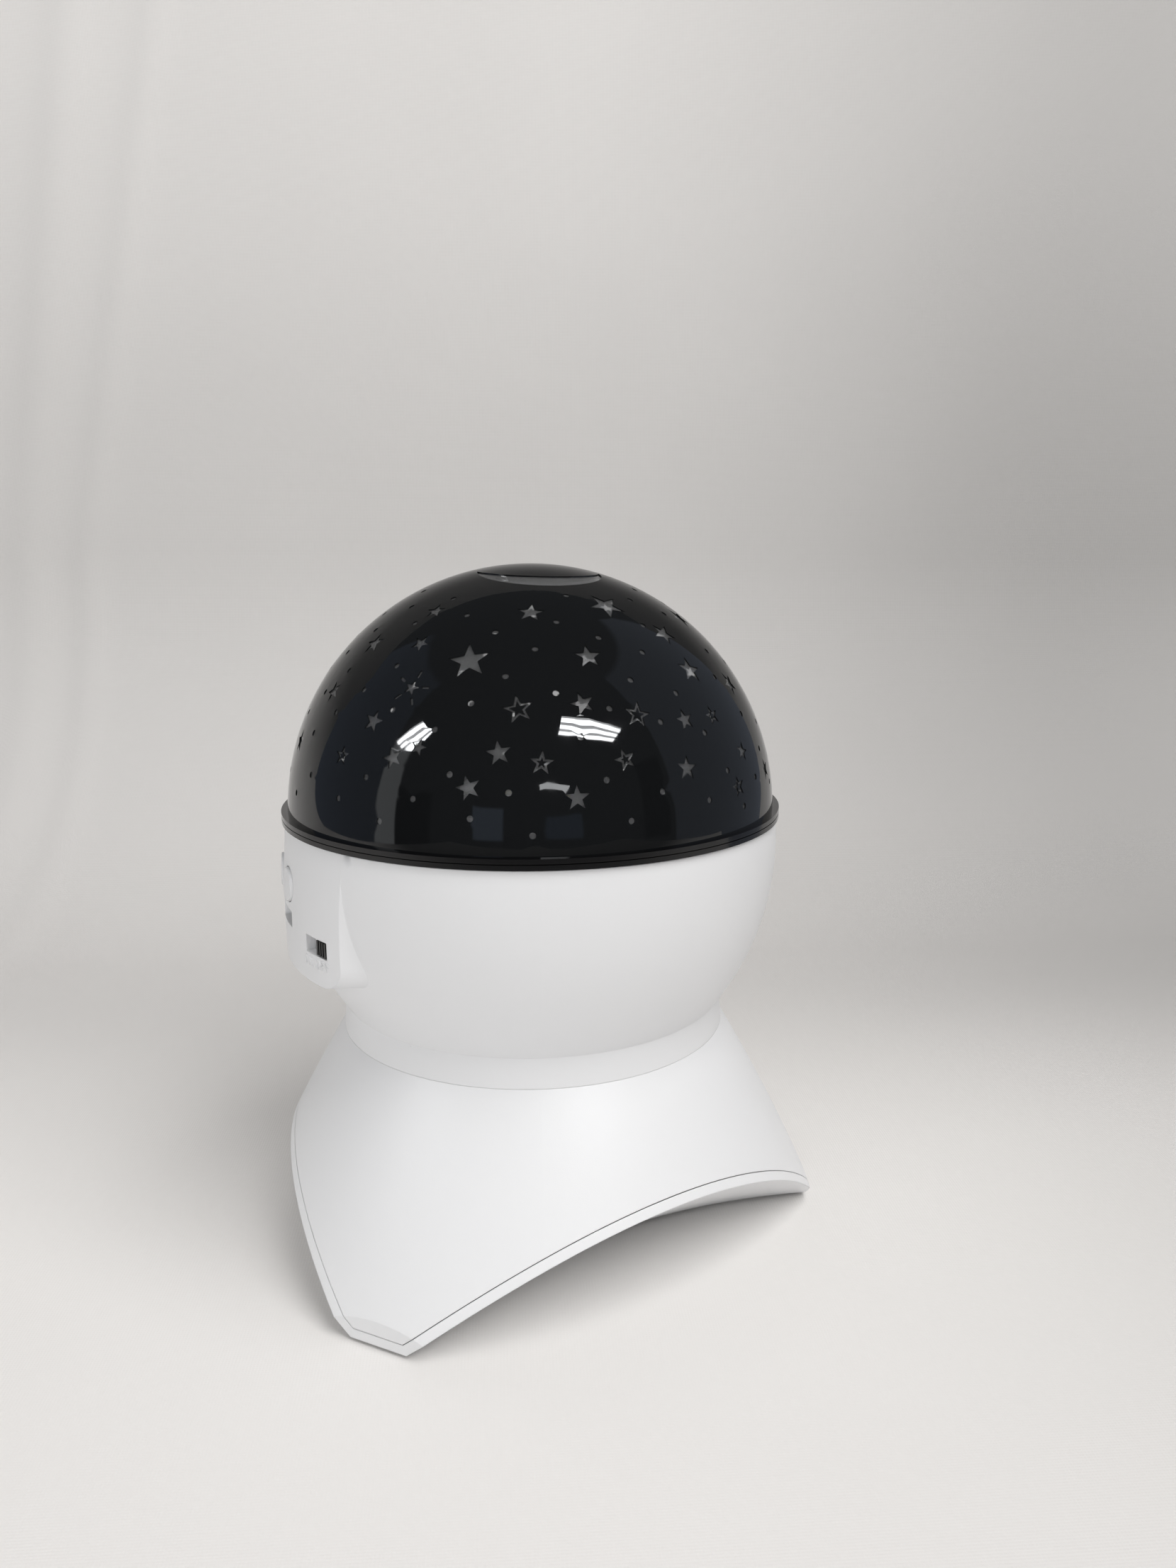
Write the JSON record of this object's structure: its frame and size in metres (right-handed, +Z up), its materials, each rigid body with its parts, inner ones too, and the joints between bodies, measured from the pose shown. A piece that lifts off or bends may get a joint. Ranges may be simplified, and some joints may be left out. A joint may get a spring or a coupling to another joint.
{
  "type": "star night light projector",
  "caption": "Nursery night light: a turning black dome pierced with star windows over a waisted white housing with buttons and an arched, flared foot.",
  "frame": {"origin": "middle of the footprint on the ground, under the rubber pads", "axes": "+Z up along the dome's spin axis, -Y towards the control panel, +X to the right as seen from the panel"},
  "size_m": [0.1378, 0.1357, 0.1678],
  "materials": {
    "housing": "satin moulded ABS",
    "pads": "matte",
    "screws": "zinc plated",
    "cells": "smooth jacket",
    "contacts": "nickel plated",
    "chassis": "moulded ABS",
    "nylon": "natural acetal",
    "gearbox": "stamped",
    "can": "drawn",
    "reflector": "gloss white",
    "leds": "lens over die",
    "hood": "clear polycarbonate",
    "board": "solder mask",
    "tact": "moulded",
    "switch_body": "moulded",
    "buttons": "satin moulded ABS",
    "black": "gloss black",
    "dome": "smoky clear polycarbonate"
  },
  "bodies": {
    "base": {"bowl_shell": "housing", "foot_shell": "housing", "base_tray": "housing", "battery_door": "housing", "foot_pads": "pads", "door_screw": "screws", "tray_screws": "screws", "joint_screws": "screws", "chassis_screws": "screws", "motor_screws": "screws", "plate_screws": "screws", "board_screws": "screws", "battery_cells": "cells", "battery_contacts": "contacts", "charging_socket": "contacts", "chassis": "chassis", "motor_bracket": "chassis", "glide_ring": "nylon", "gearbox": "gearbox", "motor_can": "can", "reflector_plate": "reflector", "lamp_board": "reflector", "lamp_leds": "leds", "lamp_hood": "hood", "control_board": "board", "button_switches": "tact", "slide_switch": "switch_body"},
    "dome": {"turn_ring": "black", "dome_collar": "black", "dome_shell": "dome", "star_coat": "black"},
    "pinion": {"motor_shaft": "screws", "drive_pinion": "nylon"},
    "knob": {"switch_knob": "black"},
    "far_left_key": {"far_left_button": "buttons"},
    "left_key": {"left_button": "buttons"},
    "right_key": {"right_button": "buttons"},
    "far_right_key": {"far_right_button": "buttons"}
  },
  "joints": [
    {"name": "dome_spin", "type": "hinge", "parent": "base", "child": "dome", "pos_m": [0, -0.00504, 0.107], "axis": [0, 0, 1], "continuous": true},
    {"name": "pinion_spin", "type": "hinge", "parent": "base", "child": "pinion", "pos_m": [-0.0228, 0.03445, 0.103], "axis": [0, 0, 1], "continuous": true},
    {"name": "power_slide", "type": "slide", "parent": "base", "child": "knob", "axis": [-0.8039, -0.5948, 0], "range_m": [0, 0.0044]},
    {"name": "far_left_key_press", "type": "slide", "parent": "base", "child": "far_left_key", "axis": [0, 1, 0], "range_m": [0, 0.00035], "stiffness_N_per_m": 2000, "springref_m": -0.0002},
    {"name": "left_key_press", "type": "slide", "parent": "base", "child": "left_key", "axis": [0, 1, 0], "range_m": [0, 0.00035], "stiffness_N_per_m": 2000, "springref_m": -0.0002},
    {"name": "right_key_press", "type": "slide", "parent": "base", "child": "right_key", "axis": [0, 1, 0], "range_m": [0, 0.00035], "stiffness_N_per_m": 2000, "springref_m": -0.0002},
    {"name": "far_right_key_press", "type": "slide", "parent": "base", "child": "far_right_key", "axis": [0, 1, 0], "range_m": [0, 0.00035], "stiffness_N_per_m": 2000, "springref_m": -0.0002}
  ],
  "couplings": [
    {"joint": "pinion_spin", "follows": "dome_spin", "ratio": 6.4286}
  ]
}
